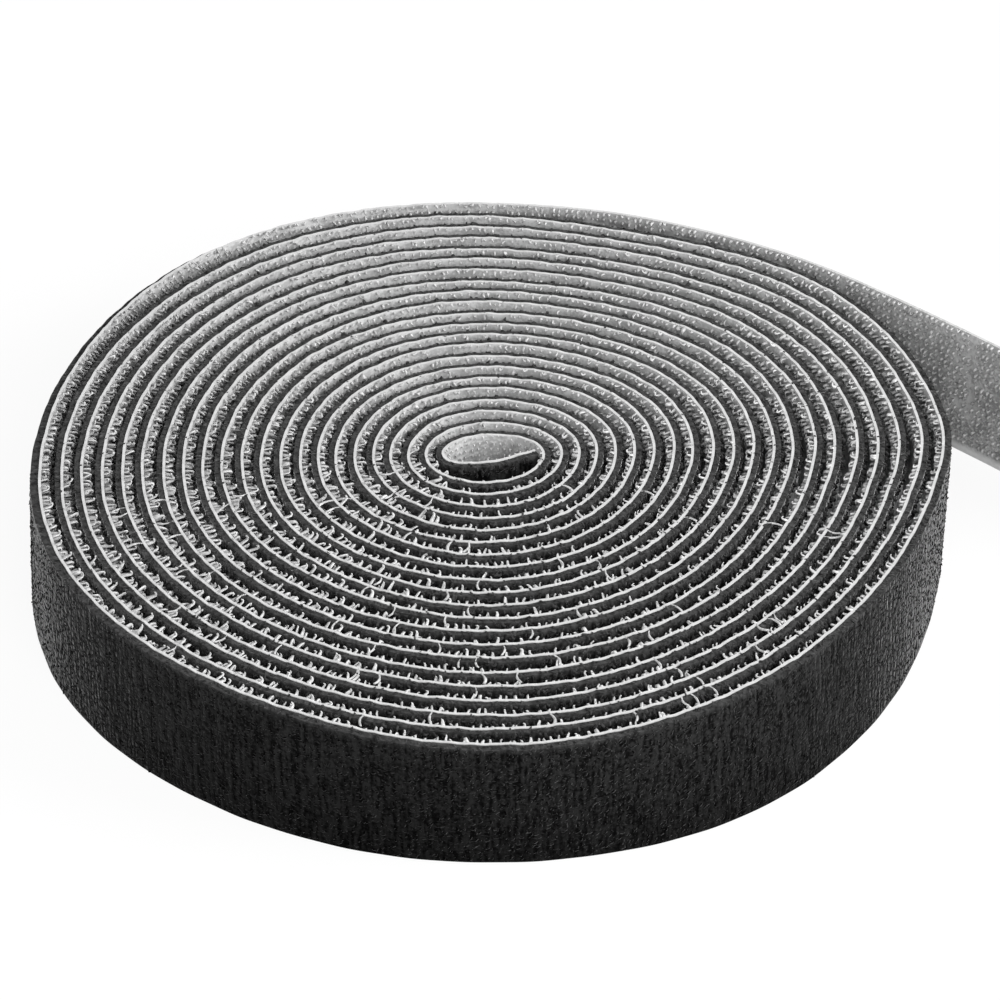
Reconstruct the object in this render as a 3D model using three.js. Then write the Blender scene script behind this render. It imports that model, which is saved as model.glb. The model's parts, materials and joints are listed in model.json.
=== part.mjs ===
// Coreless roll of back-to-back hook and loop tape, lying on its edge with the outer end peeled away.
// Millimetres, +Z up: +X is the side that the free end points to, +Y the side that it leaves from.
import * as THREE from 'three';

// Tape: a moulded hook film carried on the inside of each turn, a knitted loop fabric on the outside
const TAPE_WIDTH = 19;
const FILM_THICKNESS = 0.35;
const LOOP_THICKNESS = 0.9;
const BOND_THICKNESS = 0.1;

// Hooks of the bared film: rows of J-shaped rails that run along the tape, lips up and down by turns
const HOOK_HEIGHT = 0.65;
const HOOK_ROW_SPACING = 1.5;
const HOOK_SELVAGE = 1.2;
const HOOK_STEM = 0.24;
const HOOK_LIP_LENGTH = 0.36;
const HOOK_LIP_THICKNESS = 0.18;
const HOOK_TIP_THICKNESS = 0.16;
const HOOK_TIP_DROP = 0.14;

// Winding: radius of the film at its inner end, and the pitch that grows from the heart to the rim
const TURNS = 21.79;
const HEART_RADIUS = 3.7;
const HEART_PITCH = 2.29;
const PITCH_GROWTH = 0.015;
const HEART_FLATTENING = 1.2;
const FLATTENING_TURNS = 2;
const INNER_END_ANGLE = THREE.MathUtils.degToRad(-5);
const STEPS_PER_TURN = 24;

// Free end: an arc that relaxes away from the roll, then straight, bending at evenly spaced lines
const TAIL_LENGTH = 85;
const TAIL_ARC_RADIUS = 85;
const TAIL_ARC_LENGTH = 33;
const TAIL_LINKS = 4;
const LINK_ARC_STEPS = 4;

// How far each line bends away from the roll and back towards it, from the peel line outwards
const BEND_OUT = [80, 45, 45, 45];
const BEND_IN = [0, 11, 18, 18];
const BEND_CLEARANCE = 0.15;

const FILM_OUTER = FILM_THICKNESS / 2;
const FILM_INNER = -FILM_THICKNESS / 2;
const LOOP_INNER = FILM_OUTER + BOND_THICKNESS;
const LOOP_OUTER = LOOP_INNER + LOOP_THICKNESS;
const LINK_LENGTH = TAIL_LENGTH / TAIL_LINKS;

const HOOK_FILM_LOOK = { color: 0x8a8a8a, roughness: 0.5, metalness: 0 };
const LOOP_FABRIC_LOOK = { color: 0x1b1b1b, roughness: 1, metalness: 0 };

function windingRadius(turn) {
  return HEART_RADIUS + HEART_PITCH * turn + PITCH_GROWTH * turn * turn / 2;
}

// The tape winds outwards clockwise, seen from above, from an eye that is wider than deep.
function windingPoint(turn) {
  const angle = INNER_END_ANGLE - 2 * Math.PI * turn;
  const flattening = HEART_FLATTENING * Math.exp(-turn / FLATTENING_TURNS);
  const radius = windingRadius(turn);
  return new THREE.Vector3(
    (radius + flattening) * Math.cos(angle),
    (radius - flattening) * Math.sin(angle),
    0,
  );
}

// A stretch of the tape's path, stepped evenly in its own parameter and not in length.
class TapePath extends THREE.Curve {
  getUtoTmapping(u) {
    return u;
  }
}

// Wound stretch from the inner end, with every layer's steps at the same turn angles.
class WoundPath extends TapePath {
  constructor(endTurn) {
    super();
    this.endTurn = endTurn;
    this.steps = Math.ceil(endTurn * STEPS_PER_TURN);
  }

  getPoint(t) {
    return windingPoint(Math.min(t * this.steps / STEPS_PER_TURN, this.endTurn));
  }
}

const PEEL_POINT = windingPoint(TURNS);
const PEEL_TANGENT = new WoundPath(TURNS).getTangent(1);
const PEEL_HEADING = Math.atan2(PEEL_TANGENT.y, PEEL_TANGENT.x);

function tailHeading(distance) {
  return PEEL_HEADING - Math.min(distance, TAIL_ARC_LENGTH) / TAIL_ARC_RADIUS;
}

function tailPoint(distance) {
  const heading = tailHeading(distance);
  const straight = Math.max(distance - TAIL_ARC_LENGTH, 0);
  return new THREE.Vector3(
    TAIL_ARC_RADIUS * (Math.sin(PEEL_HEADING) - Math.sin(heading)) + straight * Math.cos(heading),
    TAIL_ARC_RADIUS * (Math.cos(heading) - Math.cos(PEEL_HEADING)) + straight * Math.sin(heading),
    0,
  ).add(PEEL_POINT);
}

// Free stretch between two distances from the peel line, stepped only where it is curved.
class FreePath extends TapePath {
  constructor(from, to) {
    super();
    this.from = from;
    this.to = to;
    this.steps = from < TAIL_ARC_LENGTH ? LINK_ARC_STEPS : 1;
  }

  getPoint(t) {
    return tailPoint(THREE.MathUtils.lerp(this.from, this.to, t));
  }
}

// Sections are drawn with height as -x and the distance outwards from the film's middle as y.
function sectionOf(points) {
  return new THREE.Shape(points.map(([height, outwards]) => new THREE.Vector2(-height, outwards)));
}

function bandSection(inner, outer) {
  return sectionOf([[0, inner], [0, outer], [TAPE_WIDTH, outer], [TAPE_WIDTH, inner]]);
}

// One J-shaped rail, from its upper side to its lower side, with the lip turned up (1) or down (-1).
function hookRail(height, lipSide) {
  const crest = FILM_INNER - HOOK_HEIGHT;
  const underLip = crest + HOOK_LIP_THICKNESS;
  const tip = underLip + HOOK_TIP_DROP;
  const stem = HOOK_STEM / 2;
  const reach = stem + HOOK_LIP_LENGTH;
  const rail = [
    [stem, FILM_INNER],
    [stem, underLip],
    [reach - HOOK_TIP_THICKNESS, underLip],
    [reach - HOOK_TIP_THICKNESS, tip],
    [reach, tip],
    [reach, crest],
    [-stem, crest],
    [-stem, FILM_INNER],
  ].map(([across, outwards]) => [height + lipSide * across, outwards]);
  return lipSide > 0 ? rail : rail.reverse();
}

function hookRowHeights() {
  const rows = Math.floor((TAPE_WIDTH - 2 * HOOK_SELVAGE) / HOOK_ROW_SPACING) + 1;
  const highest = (TAPE_WIDTH + (rows - 1) * HOOK_ROW_SPACING) / 2;
  return Array.from({ length: rows }, (_, row) => highest - row * HOOK_ROW_SPACING);
}

function hookedFilmSection() {
  const rails = hookRowHeights().flatMap((height, row) => hookRail(height, row % 2 ? -1 : 1));
  return sectionOf([
    [0, FILM_INNER],
    [0, FILM_OUTER],
    [TAPE_WIDTH, FILM_OUTER],
    [TAPE_WIDTH, FILM_INNER],
    ...rails,
  ]);
}

function layer(name, section, path, look) {
  const geometry = new THREE.ExtrudeGeometry(section, {
    steps: path.steps,
    extrudePath: path,
    bevelEnabled: false,
  });
  const mesh = new THREE.Mesh(geometry, new THREE.MeshStandardMaterial(look));
  mesh.name = name;
  return mesh;
}

// Length that a layer gives up beside bend line number `line`, so that its corners clear at both limits.
function bendSetback(line, reachIn, reachOut) {
  const closing = (reach, degrees) => reach * Math.tan(THREE.MathUtils.degToRad(degrees) / 2);
  return Math.max(closing(reachIn, BEND_IN[line]), closing(reachOut, BEND_OUT[line])) + BEND_CLEARANCE;
}

const filmSetback = (line) => bendSetback(line, HOOK_HEIGHT - FILM_INNER, FILM_OUTER);
const loopSetback = (line) => bendSetback(line, 0, LOOP_OUTER);

// Turn at which the winding ends when it stops a setback short of the peel line.
function woundEnd(setback) {
  return TURNS - setback / (2 * Math.PI * windingRadius(TURNS));
}

function wound(tape) {
  const film = bandSection(FILM_INNER, FILM_OUTER);
  const loops = bandSection(LOOP_INNER, LOOP_OUTER);
  tape.add(layer('roll_hook_film', film, new WoundPath(woundEnd(filmSetback(0))), HOOK_FILM_LOOK));
  tape.add(layer('roll_loop_fabric', loops, new WoundPath(woundEnd(loopSetback(0))), LOOP_FABRIC_LOOK));
}

// The last link ends in a plain cut across both layers.
function linkPath(link, setback) {
  const last = link === TAIL_LINKS - 1;
  const end = (link + 1) * LINK_LENGTH - (last ? 0 : setback(link + 1));
  return new FreePath(link * LINK_LENGTH + setback(link), end);
}

function tail(tape) {
  const film = hookedFilmSection();
  const loops = bandSection(LOOP_INNER, LOOP_OUTER);
  for (let link = 0; link < TAIL_LINKS; link += 1) {
    const name = `tail_${link + 1}`;
    tape.add(layer(`${name}_hook_film`, film, linkPath(link, filmSetback), HOOK_FILM_LOOK));
    tape.add(layer(`${name}_loop_fabric`, loops, linkPath(link, loopSetback), LOOP_FABRIC_LOOK));
  }
}

// Corner of the winding's section at a step, a distance outwards from the film's middle.
function woundCorner(path, step, outwards) {
  const tangent = path.getTangent(step / path.steps);
  const normal = new THREE.Vector3(-tangent.y, tangent.x, 0);
  return path.getPoint(step / path.steps).addScaledVector(normal, outwards);
}

// Least gap between the loops of one turn and the film of the next, at the steps and midway between them.
function leastTurnGap() {
  const path = new WoundPath(TURNS);
  const steps = Array.from({ length: path.steps }, (_, step) => step);
  const midway = (points) => points.slice(1).map((point, i) => point.clone().lerp(points[i], 0.5));
  const outside = steps.map((step) => woundCorner(path, step, LOOP_OUTER));
  const inside = steps.map((step) => woundCorner(path, step, FILM_INNER));
  const gapOf = (outer, inner) => Math.min(
    ...outer.slice(0, -STEPS_PER_TURN).map((point, i) => point.distanceTo(inner[i + STEPS_PER_TURN])),
  );
  return Math.min(gapOf(outside, inside), gapOf(midway(outside), midway(inside)));
}

const tape = new THREE.Group();
wound(tape);
tail(tape);

// The origin is the middle of the base, below the whole tape.
const extent = new THREE.Box3().setFromObject(tape);
const middle = extent.getCenter(new THREE.Vector3());
tape.position.set(-middle.x, -middle.y, -extent.min.z);

const place = (point) => point.clone().add(tape.position).toArray().map((value) => value.toFixed(3)).join(', ');
console.log(`least gap between turns: ${leastTurnGap().toFixed(2)} mm`);
for (let line = 0; line < TAIL_LINKS; line += 1) {
  console.log(`bend line ${line}: ${place(tailPoint(line * LINK_LENGTH))}`);
}

export default tape;
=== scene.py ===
"""Roll of back-to-back hook and loop tape.

Every layer is modelled flat, as the tape leaves the loom, and is then wound along the tape's path.
Flat coordinates are the distance along the tape from its inner end, the distance outwards from the
middle of the film, and the height above the tape's lower edge.
"""

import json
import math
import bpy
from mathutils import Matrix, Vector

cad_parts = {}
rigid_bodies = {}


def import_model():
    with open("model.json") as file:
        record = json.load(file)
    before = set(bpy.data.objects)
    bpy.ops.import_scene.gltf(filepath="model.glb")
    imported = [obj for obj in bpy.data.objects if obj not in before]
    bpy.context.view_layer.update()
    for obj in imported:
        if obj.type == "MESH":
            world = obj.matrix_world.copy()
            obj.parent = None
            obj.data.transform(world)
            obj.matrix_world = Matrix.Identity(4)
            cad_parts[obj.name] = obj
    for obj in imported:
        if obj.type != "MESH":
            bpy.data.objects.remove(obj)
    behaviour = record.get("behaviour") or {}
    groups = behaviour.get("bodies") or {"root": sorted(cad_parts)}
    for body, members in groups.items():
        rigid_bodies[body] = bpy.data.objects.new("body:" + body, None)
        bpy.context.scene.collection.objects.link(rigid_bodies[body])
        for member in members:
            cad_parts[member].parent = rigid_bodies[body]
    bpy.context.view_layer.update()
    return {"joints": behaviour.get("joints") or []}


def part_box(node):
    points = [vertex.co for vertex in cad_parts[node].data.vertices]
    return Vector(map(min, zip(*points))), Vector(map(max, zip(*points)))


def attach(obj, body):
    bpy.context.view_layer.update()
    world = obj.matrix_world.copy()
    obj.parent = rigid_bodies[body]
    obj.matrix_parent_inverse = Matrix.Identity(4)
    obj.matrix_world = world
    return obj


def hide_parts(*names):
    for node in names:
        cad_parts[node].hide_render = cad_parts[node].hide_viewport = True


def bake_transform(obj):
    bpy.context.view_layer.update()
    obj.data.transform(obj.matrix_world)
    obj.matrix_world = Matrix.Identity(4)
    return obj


bl_info = {
    "name": "Hook and Loop Tape Roll",
    "version": (1, 0, 0),
    "blender": (4, 5, 0),
    "location": "View3D > Sidebar > Tape Roll",
    "description": "Dresses a tape roll with hook film, loop fabric, hooks, pile and a stage",
    "category": "Object",
}

from collections import namedtuple

import bmesh
import bpy
import numpy as np
from bpy.props import FloatProperty, IntProperty, PointerProperty, StringProperty
from bpy.types import Operator, Panel, PropertyGroup
from mathutils import Matrix, Vector

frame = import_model()

MM = 0.001
JOINTS = [joint for joint in frame["joints"] if joint["type"] == "hinge"]
BODIES = [JOINTS[0]["parent"]] + [joint["child"] for joint in JOINTS]
FILM_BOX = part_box("roll_hook_film")
TAPE_WIDTH = FILM_BOX[1][2] - FILM_BOX[0][2]

# A stretch of the tape that makes one piece of a layer; `line` is the bend line that it crosses
Run = namedtuple("Run", "body start end line")

# A place where the turns are slack: its direction and spread in degrees, the power of the radius that it
# grows with, and how far the turns stand out there at their upper and lower edges, in millimetres
Slack = namedtuple("Slack", "direction spread growth upper lower")
SLACK = (
    Slack(3, 9, 3.0, 0.9, 0.9),
    Slack(22, 28, 1.0, 3.2, 2.1),
    Slack(42, 12, 3.0, 0.8, 0.8),
    Slack(75, 18, 3.0, -1.6, -1.6),
    Slack(122, 24, 2.0, 0.8, 0.8),
    Slack(165, 25, 1.0, -0.4, 0.6),
    Slack(-155, 22, 1.0, 0.6, 0.8),
    Slack(-86, 28, 1.6, 2.3, 0.2),
    Slack(-58, 20, 2.0, 0.0, 1.0),
    Slack(-28, 20, 2.0, -0.6, 0.0),
)

# A place where the tape has sprung off the turn below: its distance past the peel line, its reach along
# the tape and its rise, in millimetres
Lift = namedtuple("Lift", "past reach rise")
LIFTS = (Lift(-55, 30, 1.3), Lift(44, 32, 1.5))

# Waves in which the turns wander from an even winding: their height and their lengths, in millimetres
Waves = namedtuple("Waves", "height lengths")
WAVES_OUTWARDS = (Waves(0.055, (173, 61.3, 97.7)), Waves(0.02, (7.3, 11.9, 17.7)))
WAVES_UPWARDS = (Waves(0.05, (211, 83.1, 37.9)), Waves(0.035, (2.3, 3.7, 6.1)))

# Where the fabric starts to sink below the film's edge and where it is fully sunk, before the peel line
SINKING_FROM = 130 * MM
SUNK_FROM = 45 * MM

# A direction, in degrees, where the hooks stand tall or lie down, and the share of height that they gain
Stand = namedtuple("Stand", "direction gain")
STANDS = (Stand(118, -0.5), Stand(-40, -0.28), Stand(172, 0.4))

# A band of loops: the heights that it lies between, the spacing of its loops and of its rows, how far
# hooks have pulled it out, how deep it is sunk in the ground and its tilt from outwards to upwards
Band = namedtuple("Band", "low high spacing row_spacing pulled sunk tilt", defaults=(0, 0, 0))

# Small shapes set on the flat tape: spot, size, turn about the tape's normal, tilt from outwards to
# upwards, and lean along and up the tape for each unit of reach
Copies = namedtuple("Copies", "spot scale turn tilt lean")

# A value of a pattern or a place, its stretch from low to high, and what that is laid out from and to
Stretch = namedtuple("Stretch", "value low high start end", defaults=(0.0, 1.0))

# The UV map with each point's distance along the flat tape and its height, in millimetres
FLAT_MAP = "Flat"

# An area lamp: its place from the roll's middle and its size in metres, and its power in watts
Lamp = namedtuple("Lamp", "name place size watts")
LAMPS = (
    Lamp("key", (0.15, -0.78, 0.59), 0.6, 6.6),
    Lamp("side", (0.89, -0.17, 0.43), 0.5, 9.8),
    Lamp("fill", (-0.8, -0.35, 0.45), 0.8, 2.0),
)

# Brightness of the surroundings as they light the roll, and of the floor's own white as it is seen
WORLD_LIGHT = 0.44
FLOOR_GLOW = 0.9

WHITE = (1, 1, 1, 1)
BLACK = (0, 0, 0, 1)


class TapeSizes(PropertyGroup):
    """Section of the tape and the way that it is wound."""

    width: FloatProperty(
        name="Tape width", description="Height of the roll", default=TAPE_WIDTH, unit="LENGTH"
    )
    film: FloatProperty(
        name="Film", description="Thickness of the hook film", default=0.35 * MM, unit="LENGTH"
    )
    ground: FloatProperty(
        name="Fabric ground",
        description="Thickness of the knitted ground that carries the loops",
        default=0.7 * MM,
        unit="LENGTH",
    )
    bond: FloatProperty(
        name="Bond", description="Gap between film and fabric", default=0.03 * MM, unit="LENGTH"
    )
    turns: FloatProperty(name="Turns", description="Turns from inner end to peel line", default=21.79)
    heart_radius: FloatProperty(
        name="Heart radius", description="Radius at the inner end", default=3.7 * MM, unit="LENGTH"
    )
    heart_pitch: FloatProperty(
        name="Heart pitch", description="Turn spacing at the heart", default=2.29 * MM, unit="LENGTH"
    )
    pitch_growth: FloatProperty(
        name="Pitch growth", description="Spacing gained by each turn", default=0.015 * MM, unit="LENGTH"
    )
    flattening: FloatProperty(
        name="Flattening", description="How far the eye is oval", default=1.1 * MM, unit="LENGTH"
    )
    flattening_turns: FloatProperty(
        name="Flattening turns", description="Turns in which the oval fades", default=4.0
    )
    inner_angle: FloatProperty(
        name="Inner end", description="Direction of the inner end", default=math.radians(-5), unit="ROTATION"
    )
    tip_across: FloatProperty(
        name="Tip, across", description="Inner end, right of the middle", default=5.8 * MM, unit="LENGTH"
    )
    tip_away: FloatProperty(
        name="Tip, away", description="Inner end, behind the middle", default=1.1 * MM, unit="LENGTH"
    )
    inner_flat: FloatProperty(
        name="Inner flat",
        description="How far the first half turn is straight",
        default=1.5 * MM,
        unit="LENGTH",
    )
    tail_length: FloatProperty(
        name="Free end", description="Length peeled off the roll", default=85 * MM, unit="LENGTH"
    )
    tail_arc_radius: FloatProperty(
        name="Arc radius", description="Curl left in the free end", default=85 * MM, unit="LENGTH"
    )
    tail_arc_length: FloatProperty(
        name="Arc length", description="Length of the curled stretch", default=33 * MM, unit="LENGTH"
    )
    step: FloatProperty(
        name="Step", description="Length of a mesh step along the tape", default=0.6 * MM, unit="LENGTH"
    )


class HookSizes(PropertyGroup):
    """One moulded hook and the rows that it stands in."""

    height: FloatProperty(
        name="Height", description="How far a hook stands off the film", default=1.22 * MM, unit="LENGTH"
    )
    crook: FloatProperty(
        name="Crook", description="Radius of the bent head", default=0.2 * MM, unit="LENGTH"
    )
    thickness: FloatProperty(
        name="Thickness", description="Thickness of the stem", default=0.3 * MM, unit="LENGTH"
    )
    spacing: FloatProperty(
        name="Spacing", description="Distance between hooks in a row", default=0.86 * MM, unit="LENGTH"
    )
    row_spacing: FloatProperty(
        name="Row spacing", description="Distance between rows", default=0.92 * MM, unit="LENGTH"
    )
    pressed: FloatProperty(
        name="Pressed", description="Share of the height that is left at the free end", default=0.65
    )
    edge: FloatProperty(
        name="Edge", description="First row's distance from the slit edge", default=0.22 * MM, unit="LENGTH"
    )
    top_rows: IntProperty(name="Upper rows", description="Rows below the upper edge of the roll", default=3)
    base_rows: IntProperty(name="Lower rows", description="Rows above the lower edge of the roll", default=1)
    eye_rows: IntProperty(name="Eye rows", description="Rows that show inside the eye", default=12)
    seed: IntProperty(name="Seed", description="Start of the random draws", default=11)


class PileSizes(PropertyGroup):
    """The loop pile of the fabric and the threads that stray from it."""

    thickness: FloatProperty(
        name="Yarn", description="Thickness of a loop's yarn", default=0.3 * MM, unit="LENGTH"
    )
    radius: FloatProperty(
        name="Loop radius", description="Half the width of a loop", default=0.24 * MM, unit="LENGTH"
    )
    spacing: FloatProperty(
        name="Spacing", description="Distance between loops along the tape", default=0.6 * MM, unit="LENGTH"
    )
    row_spacing: FloatProperty(
        name="Row spacing", description="Distance between rows of loops", default=0.6 * MM, unit="LENGTH"
    )
    edge_spacing: FloatProperty(
        name="Edge spacing",
        description="Distance between loops at the edges",
        default=0.46 * MM,
        unit="LENGTH",
    )
    stray_spacing: FloatProperty(
        name="Stray spacing",
        description="Mean distance between stray threads",
        default=15 * MM,
        unit="LENGTH",
    )
    seed: IntProperty(name="Seed", description="Start of the random draws", default=23)


class Finishes(PropertyGroup):
    """Colours of the tape as sRGB hex values."""

    film_dark: StringProperty(name="Film, dark", description="Film in its darker clouds", default="909090")
    film_light: StringProperty(name="Film, light", description="Film in its paler clouds", default="cccccc")
    selvage: StringProperty(name="Selvage", description="Bare lower selvage of the film", default="f4f4f4")
    # Painted highlight: near white on the film's lower selvage, standing for the light that its edge
    # catches.
    hook_dark: StringProperty(name="Hook, dark", description="Darker hooks", default="a2a2a2")
    hook_light: StringProperty(name="Hook, light", description="Paler hooks", default="cccccc")
    loop_dark: StringProperty(name="Loop, dark", description="Yarn in its darker loops", default="0b0b0b")
    loop_light: StringProperty(name="Loop, light", description="Yarn in its paler loops", default="313131")
    lint: StringProperty(name="Lint", description="Fluff on the fabric's slit edge", default="505050")
    floor: StringProperty(name="Floor", description="Floor as it lights the roll", default="383838")
    floor_seen: StringProperty(name="Floor, seen", description="Shaded share of the floor", default="585858")


class StageSettings(PropertyGroup):
    """Camera and lights."""

    elevation: FloatProperty(
        name="Elevation", description="Height angle of the view", default=math.radians(36.1), unit="ROTATION"
    )
    distance: FloatProperty(
        name="Distance", description="Camera to the roll's upper face", default=731 * MM, unit="LENGTH"
    )
    focal_pixels: FloatProperty(
        name="Focal length", description="Focal length in pixels of the frame", default=5797.0
    )
    roll_x: FloatProperty(
        name="Roll, across", description="Roll's middle in the frame, pixels", default=485.2
    )
    roll_y: FloatProperty(
        name="Roll, down", description="Roll's middle in the frame, pixels", default=454.4
    )


class TapePath:
    """Middle line of the film, wound clockwise from the inner end and then free to its cut end."""

    # Turns at which the winding starts, at which the sprung inner end joins it and at which the eye ends
    FIRST_TURN = -0.06
    SPRUNG_TURNS = 0.27
    EYE_TURNS = 1.2
    # Length before the peel line in which the turns settle, and the most that the outermost one swells
    SETTLING = 40 * MM
    SWELLING = 0.3 * MM
    SAMPLES_PER_TURN = 360
    TAIL_SAMPLES = 400

    def __init__(self, sizes):
        turn = np.linspace(self.FIRST_TURN, sizes.turns, round(sizes.turns * self.SAMPLES_PER_TURN))
        angle = sizes.inner_angle - 2 * math.pi * turn
        radius = sizes.heart_radius + sizes.heart_pitch * turn + sizes.pitch_growth * turn**2 / 2
        radius -= sizes.inner_flat * np.sin(2 * math.pi * np.clip(turn, 0, 0.5)) ** 2
        oval = sizes.flattening * np.exp(-turn / sizes.flattening_turns)
        wound = np.column_stack(((radius + oval) * np.cos(angle), (radius - oval) * np.sin(angle)))
        self.spring_inner_end(sizes, wound, turn)
        free = wound[-1] + self.free_end(sizes, wound[-1] - wound[-2])
        peel = np.array(JOINTS[0]["pos_m"][:2])
        self.centre = peel - wound[-1]
        self.points = np.vstack((wound, free[1:])) + self.centre
        lengths = np.linalg.norm(np.diff(self.points, axis=0), axis=1)
        self.distance = np.concatenate(([0.0], np.cumsum(lengths)))
        self.peel = self.distance[len(wound) - 1]
        self.end = self.distance[-1]
        self.outer_turn = np.interp(sizes.turns - 1, turn, self.distance[: len(wound)])
        self.first_turn = np.interp(self.EYE_TURNS, turn, self.distance[: len(wound)])
        tangent = np.gradient(self.points, axis=0)
        tangent /= np.linalg.norm(tangent, axis=1)[:, None]
        self.outwards = np.column_stack((-tangent[:, 1], tangent[:, 0]))
        self.width = sizes.width
        self.outer_radius = radius[-1]

    def spring_inner_end(self, sizes, wound, turn):
        """Lead the first quarter turn across the eye, in a curve that leaves the winding smoothly."""
        loose = turn < self.SPRUNG_TURNS
        share = ((turn[loose] - turn[0]) / (self.SPRUNG_TURNS - turn[0]))[:, None]
        join = wound[~loose][0]
        tip = np.array((sizes.tip_across, sizes.tip_away))
        bend = np.array((sizes.tip_across / 4, join[1]))
        wound[loose] = (1 - share) ** 2 * tip + 2 * share * (1 - share) * bend + share**2 * join

    def free_end(self, sizes, start_direction):
        """Points from the peel line on: an arc that relaxes away from the roll, then a straight stretch."""
        along = np.linspace(0, sizes.tail_length, self.TAIL_SAMPLES)
        first = math.atan2(start_direction[1], start_direction[0])
        heading = first - np.minimum(along, sizes.tail_arc_length) / sizes.tail_arc_radius
        straight = np.maximum(along - sizes.tail_arc_length, 0)
        arc = sizes.tail_arc_radius
        return np.column_stack(
            (
                arc * (math.sin(first) - np.sin(heading)) + straight * np.cos(heading),
                arc * (np.cos(heading) - math.cos(first)) + straight * np.sin(heading),
            )
        )

    def spot(self, distance, outwards=0.0):
        """Point in the base plane, a distance outwards from the film's middle."""
        return Vector(self.wind(np.array([[distance, outwards, 0.0]]))[0])

    def settled(self, distance):
        """1 along the roll, fading to 0 at the peel line, where the free end takes over."""
        return np.clip((self.peel - distance) / self.SETTLING, 0, 1)

    def wander(self, distance, waves):
        """How far the turns wander from an even winding."""
        total = np.zeros(len(distance))
        for wave in waves:
            for length in wave.lengths:
                total += wave.height * MM * np.sin(2 * math.pi * distance / (length * MM) + length)
        return total * self.settled(distance)

    def fluff(self, distance):
        """How far the outermost turn's fabric swells, with no turn over it to press it flat."""
        first, last = self.outer_turn, self.peel
        stretch = (first + 40 * MM, first + 100 * MM, last - 110 * MM, last - 60 * MM)
        return np.interp(distance, stretch, (0, self.SWELLING, self.SWELLING, 0))

    def looseness(self, distance, x, y, share):
        """How far the turns stand out from an even winding, at a share of the tape's width."""
        across, away = x - self.centre[0], y - self.centre[1]
        direction = np.degrees(np.arctan2(away, across))
        radius = np.hypot(across, away) / self.outer_radius
        slack = np.zeros(len(distance))
        for place in SLACK:
            off = (direction - place.direction + 180) % 360 - 180
            amount = place.lower + (place.upper - place.lower) * share
            slack += amount * radius**place.growth * np.exp(-((off / place.spread) ** 2))
        past = (distance - self.peel) / MM
        lifted = sum(lift.rise * np.exp(-(((past - lift.past) / lift.reach) ** 2)) for lift in LIFTS)
        return (self.settled(distance) * slack + lifted) * MM

    def wind(self, flat):
        """Points of the wound tape from flat ones: distance along, distance outwards and height."""
        distance, outwards, height = flat.T
        x, y, outwards_x, outwards_y = (
            np.interp(distance, self.distance, values) for values in (*self.points.T, *self.outwards.T)
        )
        share = height / self.width
        outwards = outwards + self.wander(distance, WAVES_OUTWARDS) + self.looseness(distance, x, y, share)
        rise = self.wander(distance, WAVES_UPWARDS) * share
        return np.column_stack((x + outwards * outwards_x, y + outwards * outwards_y, height + rise))


def linear(hex_colour):
    """Linear RGBA of an sRGB hex colour."""
    channels = [int(hex_colour[i : i + 2], 16) / 255 for i in (0, 2, 4)]
    return [c / 12.92 if c <= 0.04045 else ((c + 0.055) / 1.055) ** 2.4 for c in channels] + [1.0]


def add_node(tree, kind, inputs=None, **settings):
    """A node with its settings, and its inputs set to values or linked to sockets."""
    node = tree.nodes.new(kind)
    for name, value in settings.items():
        setattr(node, name, value)
    for name, value in (inputs or {}).items():
        if isinstance(value, bpy.types.NodeSocket):
            tree.links.new(value, node.inputs[name])
        else:
            node.inputs[name].default_value = value
    return node


def new_material(name):
    """An empty node material and its tree."""
    material = bpy.data.materials.new(name)
    material.use_nodes = True
    material.node_tree.nodes.clear()
    return material, material.node_tree


def surfaced(material, inputs):
    """The material with its surface, whose inputs are values or sockets."""
    tree = material.node_tree
    shader = add_node(tree, "ShaderNodeBsdfPrincipled", inputs)
    add_node(tree, "ShaderNodeOutputMaterial", {"Surface": shader.outputs["BSDF"]})
    return material


def grain(tree, vector, size, detail=2.0, stretch=(1, 1, 1)):
    """Noise whose patches are `size` across, drawn out by `stretch`."""
    scale = [1 / (size * s) for s in stretch]
    mapping = add_node(tree, "ShaderNodeMapping", {"Vector": vector, "Scale": scale})
    noise = add_node(
        tree, "ShaderNodeTexNoise", {"Vector": mapping.outputs["Vector"], "Scale": 1.0, "Detail": detail}
    )
    return noise.outputs["Fac"]


def place_on_tape(tree):
    """A surface point's distance along the flat tape and its height, in millimetres."""
    flat = add_node(tree, "ShaderNodeUVMap", uv_map=FLAT_MAP).outputs["UV"]
    place = add_node(tree, "ShaderNodeSeparateXYZ", {"Vector": flat}).outputs
    return place["X"], place["Y"]


def share_of(tree, *stretches):
    """The product of some values, each laid out by its stretch."""
    inputs = ("Value", "From Min", "From Max", "To Min", "To Max")
    product = None
    for stretch in stretches:
        share = add_node(tree, "ShaderNodeMapRange", dict(zip(inputs, stretch))).outputs["Result"]
        if product is not None:
            both = add_node(tree, "ShaderNodeMath", {0: product, 1: share}, operation="MULTIPLY")
            share = both.outputs["Value"]
        product = share
    return product


def layered(tree, colour, *layers):
    """A colour with others laid over it in turn, each by its own share."""
    for share, over in layers:
        mix = add_node(tree, "ShaderNodeMix", {"Factor": share, 6: colour, 7: over}, data_type="RGBA")
        colour = mix.outputs[2]
    return colour


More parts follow.
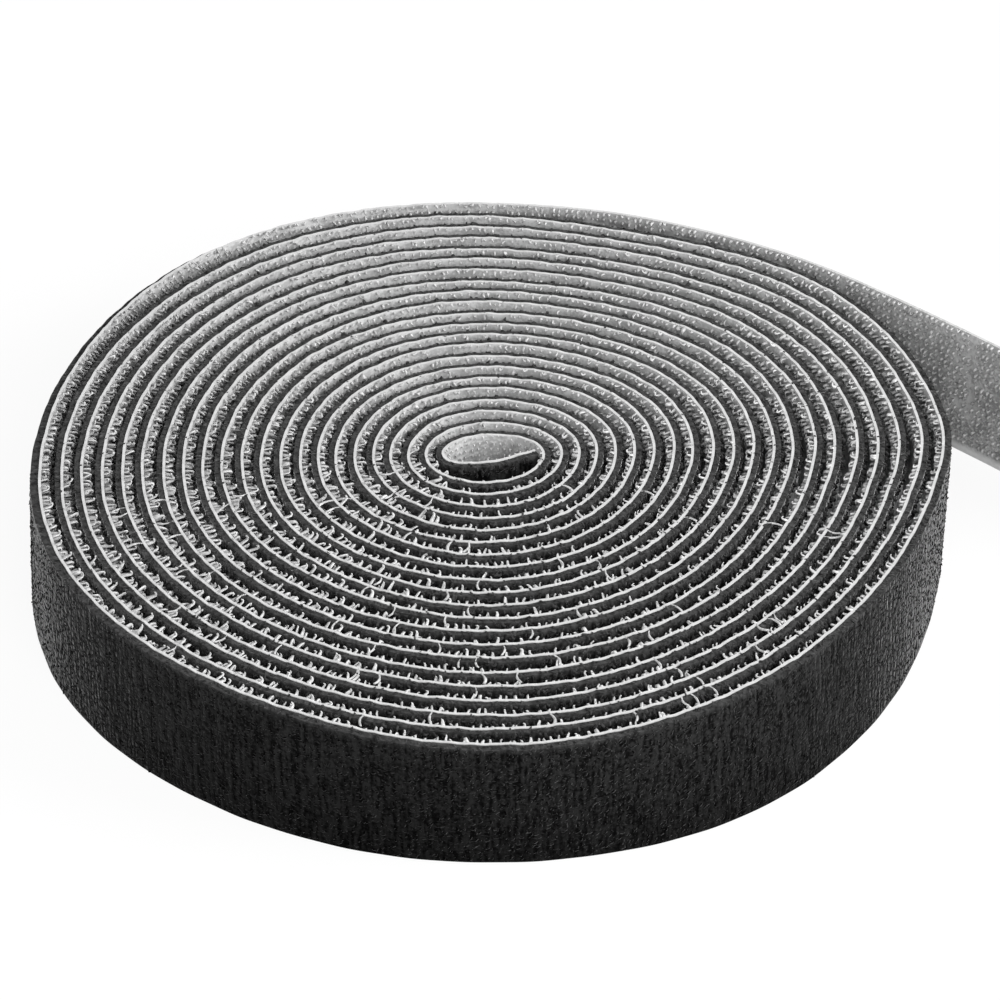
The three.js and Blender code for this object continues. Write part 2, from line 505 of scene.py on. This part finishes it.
def film_material(finish, free_from):
    """Moulded nylon film: satin grey, with painted highlight towards its edges and painted shade among its
    hooks.
    """
    material, tree = new_material("moulded_nylon_film")
    where = add_node(tree, "ShaderNodeTexCoord").outputs["Object"]
    across = add_node(tree, "ShaderNodeSeparateXYZ", {"Vector": where}).outputs["X"]
    along, height = place_on_tape(tree)
    edge, peel = TAPE_WIDTH / MM, free_from / MM
    speckle = grain(tree, where, 0.4 * MM)
    clouds = grain(tree, where, 2.5 * MM, 3.0)
    tone = add_node(tree, "ShaderNodeMath", {0: speckle, 1: clouds}, operation="ADD").outputs["Value"]
    wound = Stretch(along, peel + 5, peel + 45, 1.0, 0.2)
    # Painted highlight: the film is lightened up its upper part and at its slit edge, standing for the top
    # light that falls there.
    upper = share_of(tree, Stretch(height, 3, edge, 0.0, 0.45))
    slit = share_of(tree, Stretch(height, edge - 0.1, edge, 0.0, 0.35), wound)
    white = add_node(tree, "ShaderNodeMath", {0: upper, 1: slit}, operation="ADD").outputs["Value"]
    # Painted shade: dark patches below the edge, on the wound turns and towards +X, stand for the shade
    # among the hooks.
    patches = Stretch(grain(tree, where, 1.3 * MM, 1.0), 0.4, 0.6, 0.25, 1.0)
    below_edge = Stretch(height, edge - 1.6, edge - 0.3, 0.65, 0.0)
    painted_shade_side = Stretch(across, -40 * MM, 20 * MM)
    colour = layered(
        tree,
        linear(finish.film_dark),
        (share_of(tree, Stretch(tone, 0.88, 1.12)), linear(finish.film_light)),
        (white, linear(finish.film_light)),
        # Painted highlight: the lower selvage is mixed towards near white for the light that catches its
        # edge.
        (share_of(tree, Stretch(height, 0.7, 1.6, 1.0, 0.0)), linear(finish.selvage)),
        (share_of(tree, patches, below_edge, wound, painted_shade_side), linear(finish.loop_light)),
    )
    bump = add_node(tree, "ShaderNodeBump", {"Strength": 0.5, "Distance": 0.08 * MM, "Height": speckle})
    return surfaced(
        material,
        {"Base Color": colour, "Roughness": 0.5, "IOR": 1.53, "Normal": bump.outputs["Normal"]},
    )


def hook_material(finish):
    """Moulded nylon hooks: thin, so paler than the film, and no two of quite the same tone."""
    material, tree = new_material("moulded_nylon_hooks")
    where = add_node(tree, "ShaderNodeTexCoord").outputs["Object"]
    tone = share_of(tree, Stretch(grain(tree, where, 0.9 * MM, 1.0), 0.35, 0.65))
    return surfaced(
        material,
        {
            "Base Color": layered(tree, linear(finish.hook_dark), (tone, linear(finish.hook_light))),
            "Roughness": 0.8,
            "IOR": 1.53,
            "Subsurface Weight": 0.6,
            "Subsurface Radius": (1, 1, 1),
            "Subsurface Scale": 0.3 * MM,
        },
    )


def dyed_yarn_with_painted_shade(tree, finish, where, tone):
    """Black yarn of uneven tone, with painted shade that darkens it towards the base, and patches of lint at
    the upper slit edge.
    """
    _, height = place_on_tape(tree)
    edge = TAPE_WIDTH / MM
    slit = Stretch(height, edge - 0.9, edge)
    patches = Stretch(grain(tree, where, 0.7 * MM), 0.35, 0.65, 0.1, 0.7)
    return layered(
        tree,
        linear(finish.loop_dark),
        (share_of(tree, tone), linear(finish.loop_light)),
        # Painted shade: the yarn is mixed towards black down to the tape's base.
        (share_of(tree, Stretch(height, 0, edge, 0.6, 0.0)), BLACK),
        (share_of(tree, slit, patches), linear(finish.lint)),
    )


def fabric_material(finish):
    """Warp-knitted nylon ground, dyed black: uneven stitches in faint upright wales under the loops."""
    material, tree = new_material("knitted_nylon_ground")
    where = add_node(tree, "ShaderNodeTexCoord").outputs["Object"]
    stitches = grain(tree, where, 0.6 * MM)
    wales = grain(tree, where, 0.5 * MM, 1.0, (1, 1, 6))
    knit = add_node(tree, "ShaderNodeMath", {0: stitches, 1: wales}, operation="ADD").outputs["Value"]
    bump = add_node(tree, "ShaderNodeBump", {"Strength": 0.5, "Distance": 0.3 * MM, "Height": knit})
    return surfaced(
        material,
        {
            "Base Color": dyed_yarn_with_painted_shade(tree, finish, where, Stretch(knit, 0.82, 1.18)),
            "Roughness": 0.95,
            "Specular IOR Level": 0.0,
            "Sheen Weight": 0.75,
            "Sheen Roughness": 0.29,
            "Normal": bump.outputs["Normal"],
        },
    )


def pile_material(finish):
    """Brushed nylon loops, dyed black: matt yarn with a faint sheen where it is seen edge on."""
    material, tree = new_material("brushed_nylon_loops")
    where = add_node(tree, "ShaderNodeTexCoord").outputs["Object"]
    wales = grain(tree, where, 0.5 * MM, 1.0, (1, 1, 5))
    return surfaced(
        material,
        {
            "Base Color": dyed_yarn_with_painted_shade(tree, finish, where, Stretch(wales, 0.4, 0.6)),
            "Roughness": 0.9,
            "Specular IOR Level": 0.0,
            "Sheen Weight": 0.08,
            "Sheen Roughness": 0.32,
        },
    )


def directly_seen(tree):
    """1 for what the camera, a shine or a clear piece shows, and 0 for what only lights other things."""
    rays = add_node(tree, "ShaderNodeLightPath").outputs
    seen = rays["Is Camera Ray"]
    for kind in ("Is Glossy Ray", "Is Transmission Ray"):
        either = add_node(tree, "ShaderNodeMath", {0: seen, 1: rays[kind]}, operation="MAXIMUM")
        seen = either.outputs["Value"]
    return seen


def floor_material(finish):
    """Matt white paper sweep that shows as white to the camera and keeps the shadow."""
    material, tree = new_material("white_paper")
    seen = directly_seen(tree)
    return surfaced(
        material,
        {
            "Base Color": layered(tree, linear(finish.floor), (seen, linear(finish.floor_seen))),
            "Roughness": 0.9,
            "Specular IOR Level": 0.0,
            "Emission Color": WHITE,
            "Emission Strength": share_of(tree, Stretch(seen, 0, 1, 0.0, FLOOR_GLOW)),
        },
    )


def material_once(name, make, *values):
    """The material of that name, made the first time that it is asked for."""
    return bpy.data.materials.get(name) or make(*values)


def mesh_of(bm, name):
    """A mesh from a bmesh, which is freed."""
    mesh = bpy.data.meshes.new(name)
    bm.to_mesh(mesh)
    bm.free()
    return mesh


def points_of(mesh):
    """A mesh's vertices as rows of coordinates."""
    values = np.empty(3 * len(mesh.vertices))
    mesh.vertices.foreach_get("co", values)
    return values.reshape(-1, 3)


def placed(name, data):
    """A new object in the scene."""
    thing = bpy.data.objects.new(name, data)
    bpy.context.scene.collection.objects.link(thing)
    return thing


def strip(name, run, inner, outer, heights, step):
    """A flat layer between two distances outwards, closed all round, with its rows at given heights."""
    bm = bmesh.new()
    count = max(2, round((run.end - run.start) / step))
    bmesh.ops.create_grid(bm, x_segments=count, y_segments=len(heights) - 1, size=0.5)
    rows = np.linspace(-0.5, 0.5, len(heights))
    for vert in bm.verts:
        along = run.start + (vert.co.x + 0.5) * (run.end - run.start)
        vert.co = (along, inner, float(np.interp(vert.co.y, rows, heights)))
    grown = bmesh.ops.extrude_face_region(bm, geom=bm.faces[:], use_keep_orig=True)
    raised = [part for part in grown["geom"] if isinstance(part, bmesh.types.BMVert)]
    bmesh.ops.translate(bm, verts=raised, vec=(0, outer - inner, 0))
    bmesh.ops.recalc_face_normals(bm, faces=bm.faces[:])
    return mesh_of(bm, name)


def grown_ring(bm, edges):
    """The open ring that a ring of edges grows into, as its vertices and edges."""
    grown = bmesh.ops.extrude_edge_only(bm, edges=edges)["geom"]
    verts = [part for part in grown if isinstance(part, bmesh.types.BMVert)]
    edges = [part for part in grown if isinstance(part, bmesh.types.BMEdge)]
    return verts, [edge for edge in edges if all(vert in verts for vert in edge.verts)]


def closed(bm, name):
    """A mesh from a tube whose ends are filled, with its faces turned outwards."""
    bmesh.ops.holes_fill(bm, edges=bm.edges[:])
    bmesh.ops.recalc_face_normals(bm, faces=bm.faces[:])
    return mesh_of(bm, name)


def hook_shape(sizes, sides, steps):
    """One claw-like hook on the film's inner face, its tapering head bent towards +X."""
    root, waist, taper = 0.72, 0.8, 0.88
    bend = math.radians(170)
    bm = bmesh.new()
    bmesh.ops.create_circle(bm, segments=sides, radius=sizes.thickness * root)
    bmesh.ops.rotate(bm, verts=bm.verts[:], matrix=Matrix.Rotation(math.pi / 2, 3, "X"))
    top, edges = grown_ring(bm, bm.edges[:])
    shoulder = sizes.height - sizes.crook - sizes.thickness / 2
    bmesh.ops.translate(bm, verts=top, vec=(0, -shoulder, 0))
    bmesh.ops.scale(bm, verts=top, vec=(waist, 1, waist), space=Matrix.Translation((0, shoulder, 0)))
    turn = Matrix.Rotation(bend / steps, 3, "Z")
    for _ in range(steps):
        top, edges = grown_ring(bm, edges)
        bmesh.ops.rotate(bm, verts=top, cent=(sizes.crook, -shoulder, 0), matrix=turn)
        middle = sum((vert.co for vert in top), Vector()) / len(top)
        bmesh.ops.scale(bm, verts=top, vec=(taper, taper, taper), space=Matrix.Translation(-middle))
    return closed(bm, "hook")


def loop_shape(sizes):
    """One arch of yarn that stands on the fabric's outer face, with both feet in the ground."""
    bm = bmesh.new()
    ring = bmesh.ops.create_circle(
        bm, segments=3, radius=sizes.thickness / 2, matrix=Matrix.Translation((-sizes.radius, 0, 0))
    )["verts"]
    bmesh.ops.rotate(bm, verts=ring, matrix=Matrix.Rotation(math.pi / 2, 3, "X"))
    bmesh.ops.spin(
        bm, geom=bm.verts[:] + bm.edges[:], cent=(0, 0, 0), axis=(0, 0, -1), angle=math.pi, steps=3
    )
    return closed(bm, "loop")


def thread_shape():
    """A stray thread of unit length, bowed along the tape, running outwards across the pile."""
    radius, bow, pieces = 0.06, 0.35, 6
    bm = bmesh.new()
    bmesh.ops.create_circle(bm, segments=4, radius=radius)
    bmesh.ops.rotate(bm, verts=bm.verts[:], matrix=Matrix.Rotation(math.pi / 2, 3, "X"))
    edges = bm.edges[:]
    for piece in range(pieces):
        verts, edges = grown_ring(bm, edges)
        aside = bow * math.cos(math.pi * (piece + 0.5) / pieces) / pieces
        bmesh.ops.translate(bm, verts=verts, vec=(aside, 1 / pieces, 0))
    return closed(bm, "thread")


def stamp(name, shape, copies):
    """Copies of a small shape on the flat tape."""
    base = points_of(shape)
    count = len(copies.spot)
    sized = base[None] * copies.scale[:, None, :]
    cos, sin = np.cos(copies.turn)[:, None], np.sin(copies.turn)[:, None]
    along = sized[..., 0] * cos - sized[..., 2] * sin
    up = sized[..., 0] * sin + sized[..., 2] * cos
    cos, sin = np.cos(copies.tilt)[:, None], np.sin(copies.tilt)[:, None]
    out = sized[..., 1] * cos - up * sin
    up = sized[..., 1] * sin + up * cos
    reach = np.abs(out)
    along = along + copies.lean[:, :1] * reach
    up = up + copies.lean[:, 1:] * reach
    flat = np.stack((along, out, up), axis=-1) + copies.spot[:, None, :]
    corners = np.empty(len(shape.loops), dtype=np.int32)
    shape.loops.foreach_get("vertex_index", corners)
    starts = np.empty(len(shape.polygons), dtype=np.int32)
    shape.polygons.foreach_get("loop_start", starts)
    copy = np.arange(count, dtype=np.int32)[:, None]
    mesh = bpy.data.meshes.new(name)
    mesh.vertices.add(count * len(base))
    mesh.vertices.foreach_set("co", flat.ravel())
    mesh.loops.add(count * len(corners))
    mesh.loops.foreach_set("vertex_index", (corners[None] + len(base) * copy).ravel())
    mesh.polygons.add(count * len(starts))
    mesh.polygons.foreach_set("loop_start", (starts[None] + len(corners) * copy).ravel())
    mesh.update(calc_edges=True)
    return mesh


def wound_piece(mesh, path, material, smooth=True):
    """An object from a flat mesh: its flat places go into a UV map in millimetres, then it is wound."""
    flat = points_of(mesh)
    flat[:, 2] = np.maximum(flat[:, 2], 0)
    corners = np.empty(len(mesh.loops), dtype=np.int32)
    mesh.loops.foreach_get("vertex_index", corners)
    layer = mesh.uv_layers.new(name=FLAT_MAP)
    layer.data.foreach_set("uv", (flat[corners][:, (0, 2)] / MM).ravel())
    mesh.vertices.foreach_set("co", path.wind(flat).ravel())
    mesh.polygons.foreach_set("use_smooth", [smooth] * len(mesh.polygons))
    mesh.materials.append(material)
    mesh.update()
    piece = placed(mesh.name, mesh)
    return piece


def runs_of(path):
    """The wound stretch, and one free stretch across each bend line, parted midway between the lines."""
    lines = [path.peel + (path.end - path.peel) * i / len(JOINTS) for i in range(len(JOINTS))]
    half_link = (lines[1] - lines[0]) / 2
    starts = [path.peel - half_link] + [line + half_link for line in lines[:-1]]
    ends = starts[1:] + [path.end]
    free = [Run(BODIES[i + 1], starts[i], ends[i], i) for i in range(len(JOINTS))]
    return [Run(BODIES[0], 0.0, starts[0], None)] + free, lines


def carry(piece, run, path, lines):
    """The wound stretch rides on the roll; a free one stays where it is wound, with its placement applied to
    its mesh.
    """
    if run.line is None:
        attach(piece, run.body)
        return
    reach = 7 * MM
    line = lines[run.line]
    path.spot(line - reach)
    path.spot(line + reach)
    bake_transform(piece)


def tape_settings(context):
    """The scene with its settings, the tape's path, and the path's stretches and bend lines."""
    scene = context.scene
    path = TapePath(scene.tape_sizes)
    runs, lines = runs_of(path)
    return scene, path, runs, lines


class TAPE_OT_hook_film(Operator):
    """Wind the hook film and lay out its free end"""

    bl_idname = "tape.hook_film"
    bl_label = "Hook Film"

    def execute(self, context):
        scene, path, runs, lines = tape_settings(context)
        sizes = scene.tape_sizes
        material = material_once("moulded_nylon_film", film_material, scene.tape_finishes, path.peel)
        selvage = 0.5 * MM
        heights = (0, selvage, sizes.width / 2, sizes.width - selvage, sizes.width)
        for run in runs:
            mesh = strip(f"{run.body}_film", run, -sizes.film / 2, sizes.film / 2, heights, sizes.step)
            piece = wound_piece(mesh, path, material, smooth=False)
            carry(piece, run, path, lines)
            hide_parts(f"{run.body}_hook_film")
        return {"FINISHED"}


class TAPE_OT_loop_fabric(Operator):
    """Wind the knitted ground of the loop fabric and lay out its free end"""

    bl_idname = "tape.loop_fabric"
    bl_label = "Loop Fabric"

    def execute(self, context):
        scene, path, runs, lines = tape_settings(context)
        sizes = scene.tape_sizes
        material = material_once("knitted_nylon_ground", fabric_material, scene.tape_finishes)
        inner = sizes.film / 2 + sizes.bond
        margin, sunk = 0.1 * MM, 0.7 * MM
        heights = (margin, sizes.width / 2, sizes.width)
        places = (path.peel - SINKING_FROM, path.peel - SUNK_FROM)
        tops = (sizes.width - margin, sizes.width - sunk)
        for run in runs:
            mesh = strip(f"{run.body}_fabric", run, inner, inner + sizes.ground, heights, sizes.step)
            flat = points_of(mesh)
            flat[:, 2] = np.minimum(flat[:, 2], np.interp(flat[:, 0], places, tops))
            flat[:, 1] += (flat[:, 1] > inner + sizes.ground / 2) * path.fluff(flat[:, 0])
            mesh.vertices.foreach_set("co", flat.ravel())
            piece = wound_piece(mesh, path, material, smooth=False)
            carry(piece, run, path, lines)
            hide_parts(f"{run.body}_loop_fabric")
        return {"FINISHED"}


class TAPE_OT_hooks(Operator):
    """Set rows of hooks on the film: along the roll's edges, in its eye and all over the free end"""

    bl_idname = "tape.hooks"
    bl_label = "Hooks"

    # A new hook's height and its width along the tape, as shares of its sizes, and its depth in the film
    TALLEST = 1.05
    BROADER = 1.2
    ROOT = 0.05 * MM
    # Share of the height that is left in the eye, and where it is whole again, in lengths of the eye's tape
    EYE_HEIGHT = 0.45
    EYE_REACH = 1.6
    # Power of the height by which a short hook is thinner, and the rows left off the free end's lower edge
    THINNING = 0.3
    BARE_ROWS = 2
    # What full wear does: how far it shifts, lifts, cuts, thickens, twists and leans hooks
    SHIFT = 0.4
    LIFT = 0.1 * MM
    CUT = 0.65
    SWELL = 0.3
    TWIST = 0.4
    LEAN = 0.22
    # The shares of hooks that full wear turns round and tears out
    TURNED = 0.5
    LOST = 0.07

    def row(self, draw, hooks, film, path, start, end, wear, height, facing):
        """One row of hooks, the more of them missing, cut short or leaning the more it is worn."""
        count = int((end - start) / hooks.spacing)
        along = start + (np.arange(count) + 0.5 * draw.uniform(0, 1)) * hooks.spacing
        along += wear * draw.uniform(-self.SHIFT, self.SHIFT, count) * hooks.spacing
        high = height + wear * draw.normal(0, 1, count) * self.LIFT
        short = np.interp(along / path.first_turn, (1, self.EYE_REACH), (self.EYE_HEIGHT, 1.0))
        short *= np.interp(along, (path.peel, path.end), (1.0, hooks.pressed))
        for stand in STANDS:
            direction = math.radians(stand.direction)
            facing_it = path.outwards @ (math.cos(direction), math.sin(direction))
            short *= 1 + stand.gain * np.clip(np.interp(along, path.distance, facing_it), 0, 1)
        size = (self.TALLEST - self.CUT * wear * draw.uniform(0, 1, count)) * short
        thick = (1.0 + wear * draw.uniform(-self.SWELL, self.SWELL, count)) * short**self.THINNING
        scale = np.column_stack((thick, size, self.BROADER * thick))
        turn = facing + wear * draw.normal(0, self.TWIST, count)
        turn += math.pi * (draw.uniform(0, 1, count) < self.TURNED * wear)
        lean = wear * draw.normal(0, self.LEAN, (count, 2))
        kept = draw.uniform(0, 1, count) > self.LOST * wear
        spots = np.column_stack((along, np.full(count, self.ROOT - film / 2), high))
        return [values[kept] for values in (spots, scale, turn, np.zeros(count), lean)]

    def rows(self, draw, hooks, film, path, start, end, heights, wear):
        """Several rows together, facing down and up by turns."""
        parts = [
            self.row(draw, hooks, film, path, start, end, wear, height, math.pi * (i % 2 - 0.5))
            for i, height in enumerate(heights)
        ]
        return Copies(*(np.concatenate(values) for values in zip(*parts)))

    def execute(self, context):
        scene, path, runs, lines = tape_settings(context)
        hooks, sizes = scene.tape_hooks, scene.tape_sizes
        material = material_once("moulded_nylon_hooks", hook_material, scene.tape_finishes)
        draw = np.random.RandomState(hooks.seed)
        fine, plain = (hook_shape(hooks, sides=3, steps=steps) for steps in (4, 3))
        edge_wear, wear = 1.0, 0.45
        room = sizes.width - 2 * hooks.edge
        count = int(room / hooks.row_spacing) + 1
        rows = sizes.width - hooks.edge - np.arange(count) * hooks.row_spacing
        roll, *free = runs
        whole = (roll, roll.start, roll.end)
        groups = {"roll_hooks_edge": (fine, *whole, rows[:1], edge_wear)}
        for i in range(1, hooks.top_rows):
            groups[f"roll_hooks_upper_{i}"] = (plain, *whole, rows[i : i + 1], wear)
        for i in range(hooks.base_rows):
            height = hooks.edge + i * hooks.row_spacing
            groups[f"roll_hooks_lower_{i + 1}"] = (plain, *whole, [height], edge_wear)
        eye = rows[hooks.top_rows : hooks.top_rows + hooks.eye_rows]
        groups["roll_hooks_eye"] = (plain, roll, roll.start, path.first_turn, eye, wear)
        for run in free:
            groups[f"{run.body}_hooks"] = (plain, run, run.start, run.end, rows[: -self.BARE_ROWS], wear)
        for name, (shape, run, *area) in groups.items():
            copies = self.rows(draw, hooks, sizes.film, path, *area)
            piece = wound_piece(stamp(name, shape, copies), path, material)
            carry(piece, run, path, lines)
        bpy.data.batch_remove((fine, plain))
        return {"FINISHED"}


class TAPE_OT_pile(Operator):
    """Raise the loop pile: all over the outer wall and the free end, and along every turn's edges"""

    bl_idname = "tape.pile"
    bl_label = "Loop Pile"

    # Sizes of loops, how far they reach when they are pressed flat, and how much further when pulled out
    SIZES = (0.7, 1.3)
    PRESSED = (0.1, 0.25)
    PULLED = (0.2, 1.9)
    UNEVEN_TILT = 0.3
    FEET = 0.05 * MM

    def loops(self, draw, path, face, start, end, band):
        """Loops scattered over a band of the tape, pressed flat, pulled out by hooks or upright."""
        rows = max(1, round((band.high - band.low) / band.row_spacing))
        columns = int((end - start) / band.spacing)
        column, row = np.meshgrid(np.arange(columns), np.arange(rows))
        count = rows * columns
        along = start + (column.ravel() + 0.5 + draw.uniform(-0.5, 0.5, count)) * (end - start) / columns
        up = band.low + (row.ravel() + 0.5 + draw.uniform(-0.5, 0.5, count)) * (band.high - band.low) / rows
        size = draw.uniform(*self.SIZES, count)
        reach = draw.uniform(*self.PRESSED, count) + band.pulled * draw.uniform(*self.PULLED, count)
        scale = np.column_stack((size, size * reach, size))
        depth = draw.uniform(0, 1, count) * (band.sunk + self.FEET)
        spots = np.column_stack((along, face + path.fluff(along) - depth, up))
        tilt = draw.normal(band.tilt, self.UNEVEN_TILT, count)
        return Copies(spots, scale, draw.uniform(0, math.pi, count), tilt, np.zeros((count, 2)))

    def bands(self, pile, width):
        """Bands of the wall, which sinks in steps, and of the crest, shoulder and foot of every turn."""
        low, high, crest = 0.4 * MM, width - 0.1 * MM, width - 0.2 * MM
        slight, full = 0.1 * MM, 0.8 * MM
        edge = pile.edge_spacing
        walls = [Band(low, high - sunk, pile.spacing, pile.row_spacing) for sunk in (0, slight, full)]
        upright = Band(crest, crest + 0.15 * MM, edge, 1 * MM, sunk=0.7 * MM, tilt=1.4)
        shoulder = Band(crest - 1.2 * MM, crest - 0.1 * MM, 1.4 * edge, 0.55 * MM, pulled=1)
        foot = Band(low, low + 0.4 * MM, 3 * edge, 1 * MM)
        return walls, upright, shoulder, foot

    def execute(self, context):
        scene, path, runs, lines = tape_settings(context)
        pile, sizes = scene.tape_pile, scene.tape_sizes
        material = material_once("brushed_nylon_loops", pile_material, scene.tape_finishes)
        draw = np.random.RandomState(pile.seed)
        shape = loop_shape(pile)
        face = sizes.film / 2 + sizes.bond + sizes.ground
        roll, *free = runs
        walls, upright, shoulder, foot = self.bands(pile, sizes.width)
        ends = np.linspace(path.outer_turn, roll.end, len(walls) + 1)
        middle = (roll.start + path.outer_turn) / 2
        groups = {
            f"roll_pile_wall_{i + 1}": (roll, ends[i], ends[i + 1], wall) for i, wall in enumerate(walls)
        }
        groups["roll_pile_crest"] = (roll, roll.start, path.peel - SINKING_FROM, upright)
        groups["roll_pile_upper_1"] = (roll, roll.start, middle, shoulder)
        groups["roll_pile_upper_2"] = (roll, middle, path.outer_turn, shoulder)
        groups["roll_pile_lower"] = (roll, roll.start, path.outer_turn, foot)
        for run in free:
            groups[f"{run.body}_pile"] = (run, run.start, run.end, walls[-1])
        for name, (run, *area) in groups.items():
            copies = self.loops(draw, path, face, *area)
            piece = wound_piece(stamp(name, shape, copies), path, material)
            carry(piece, run, path, lines)
        bpy.data.meshes.remove(shape)
        return {"FINISHED"}


class TAPE_OT_stray_threads(Operator):
    """Draw stray threads from turn to turn across the upper edges"""

    bl_idname = "tape.stray_threads"
    bl_label = "Stray Threads"

    # Lengths of threads, and the spreads that their bow and radius are shares of
    LENGTHS = (1.8 * MM, 2.4 * MM)
    SPREADS = (2.0 * MM, 3.2 * MM)
    # How far they lean along the tape, the share of that by which they rise, and their depth below the edge
    LEAN = 0.15
    RISE = 0.2
    DEPTH = 0.15 * MM
    # Share of the wound tape, at its inner end, that has no loose threads
    HEART = 0.02
    # From a turn that faces the viewer, where all threads come loose, to just past its side, where none do
    FACING = (-1.0, 0.1)

    def execute(self, context):
        scene, path, runs, lines = tape_settings(context)
        pile, sizes = scene.tape_pile, scene.tape_sizes
        material = material_once("moulded_nylon_hooks", hook_material, scene.tape_finishes)
        draw = np.random.RandomState(pile.seed + 1)
        end = path.outer_turn
        along = draw.uniform(self.HEART * end, end, int(end / pile.stray_spacing))
        away = np.interp(along, path.distance, path.outwards[:, 1])
        loose = away < draw.uniform(*self.FACING, len(along))
        along = np.sort(along[loose])
        count = len(along)
        length = draw.uniform(*self.LENGTHS, count)
        spots = np.column_stack((along, np.zeros(count), np.full(count, sizes.width - self.DEPTH)))
        spread = draw.uniform(*self.SPREADS, count)
        scale = np.column_stack((spread, length, spread))
        turn = math.pi * draw.randint(0, 2, count)
        lean = draw.normal(0, self.LEAN, (count, 2)) * (1, self.RISE)
        copies = Copies(spots, scale, turn, np.zeros(count), lean)
        shape = thread_shape()
        mesh = stamp("roll_stray_threads", shape, copies)
        piece = wound_piece(mesh, path, material)
        carry(piece, runs[0], path, lines)
        bpy.data.meshes.remove(shape)
        return {"FINISHED"}


class TAPE_OT_stage(Operator):
    """Lay the floor, hang the lights and set the camera"""

    bl_idname = "tape.stage"
    bl_label = "Stage"

    FLOOR_REACH = 6.0
    FLOOR_GAP = 0.05 * MM
    FRAME_PIXELS = 1000
    SENSOR_WIDTH = 36
    FAR_CLIP = 20

    def floor(self, finish):
        """A wide sheet of paper just under the roll."""
        bm = bmesh.new()
        down = Matrix.Translation((0, 0, -self.FLOOR_GAP))
        bmesh.ops.create_grid(bm, x_segments=1, y_segments=1, size=self.FLOOR_REACH, matrix=down)
        floor = placed("floor", mesh_of(bm, "floor"))
        floor.data.materials.append(floor_material(finish))

    def world(self):
        """Even white surroundings that light the roll less brightly than they show."""
        world = bpy.data.worlds.new("studio")
        world.use_nodes = True
        tree = world.node_tree
        tree.nodes.clear()
        strength = share_of(tree, Stretch(directly_seen(tree), 0, 1, WORLD_LIGHT, 1.0))
        sky = add_node(tree, "ShaderNodeBackground", {"Color": WHITE, "Strength": strength})
        add_node(tree, "ShaderNodeOutputWorld", {"Surface": sky.outputs["Background"]})
        bpy.context.scene.world = world

    def lamp(self, lamp, target):
        """An area lamp that faces the target."""
        light = bpy.data.lights.new(lamp.name, "AREA")
        light.size = lamp.size
        light.energy = lamp.watts
        place = Vector(lamp.place)
        hung = placed(lamp.name, light)
        hung.location = target + place
        hung.rotation_euler = (-place).to_track_quat("-Z", "Y").to_euler()

    def camera(self, settings, target):
        """A camera that has the target at its place in the frame."""
        data = bpy.data.cameras.new("camera")
        half_frame = self.FRAME_PIXELS / 2
        data.sensor_width = self.SENSOR_WIDTH
        data.lens = settings.focal_pixels / self.FRAME_PIXELS * data.sensor_width
        data.clip_end = self.FAR_CLIP
        camera = placed("camera", data)
        tilt = settings.elevation + math.atan((half_frame - settings.roll_y) / settings.focal_pixels)
        pan = math.atan((settings.roll_x - half_frame) / settings.focal_pixels)
        back = Vector((0, -math.cos(settings.elevation), math.sin(settings.elevation)))
        camera.location = target + back * settings.distance
        camera.rotation_euler = (math.pi / 2 - tilt, 0, pan)
        bpy.context.scene.camera = camera

    def execute(self, context):
        scene, path, _, _ = tape_settings(context)
        middle = Vector((*path.centre, scene.tape_sizes.width))
        self.floor(scene.tape_finishes)
        self.world()
        for lamp in LAMPS:
            self.lamp(lamp, middle)
        self.camera(scene.tape_stage, middle)
        scene.view_settings.view_transform = "Standard"
        return {"FINISHED"}


class TAPE_PT_panel(Panel):
    """Lists the steps that make the roll"""

    bl_idname = "TAPE_PT_panel"
    bl_label = "Tape Roll"
    bl_space_type = "VIEW_3D"
    bl_region_type = "UI"
    bl_category = "Tape Roll"

    def draw(self, context):
        for operator in OPERATORS:
            self.layout.operator(operator.bl_idname)
        for name in GROUPS:
            box = self.layout.box()
            group = getattr(context.scene, name)
            for prop in group.bl_rna.properties:
                if prop.identifier in group.__annotations__:
                    box.prop(group, prop.identifier)


GROUPS = {
    "tape_sizes": TapeSizes,
    "tape_hooks": HookSizes,
    "tape_pile": PileSizes,
    "tape_finishes": Finishes,
    "tape_stage": StageSettings,
}
OPERATORS = (
    TAPE_OT_stage,
    TAPE_OT_hook_film,
    TAPE_OT_loop_fabric,
    TAPE_OT_hooks,
    TAPE_OT_pile,
    TAPE_OT_stray_threads,
)
CLASSES = (*GROUPS.values(), *OPERATORS, TAPE_PT_panel)


def register():
    """Add the classes, and the settings to every scene."""
    for cls in CLASSES:
        bpy.utils.register_class(cls)
    for name, group in GROUPS.items():
        setattr(bpy.types.Scene, name, PointerProperty(type=group))


def unregister():
    """Take the settings and the classes away again."""
    for name in GROUPS:
        delattr(bpy.types.Scene, name)
    for cls in reversed(CLASSES):
        bpy.utils.unregister_class(cls)


def main():
    """Make the stage and the roll."""
    register()
    bpy.ops.tape.stage()
    bpy.ops.tape.hook_film()
    bpy.ops.tape.loop_fabric()
    bpy.ops.tape.hooks()
    bpy.ops.tape.pile()
    bpy.ops.tape.stray_threads()


if __name__ == "__main__":
    main()
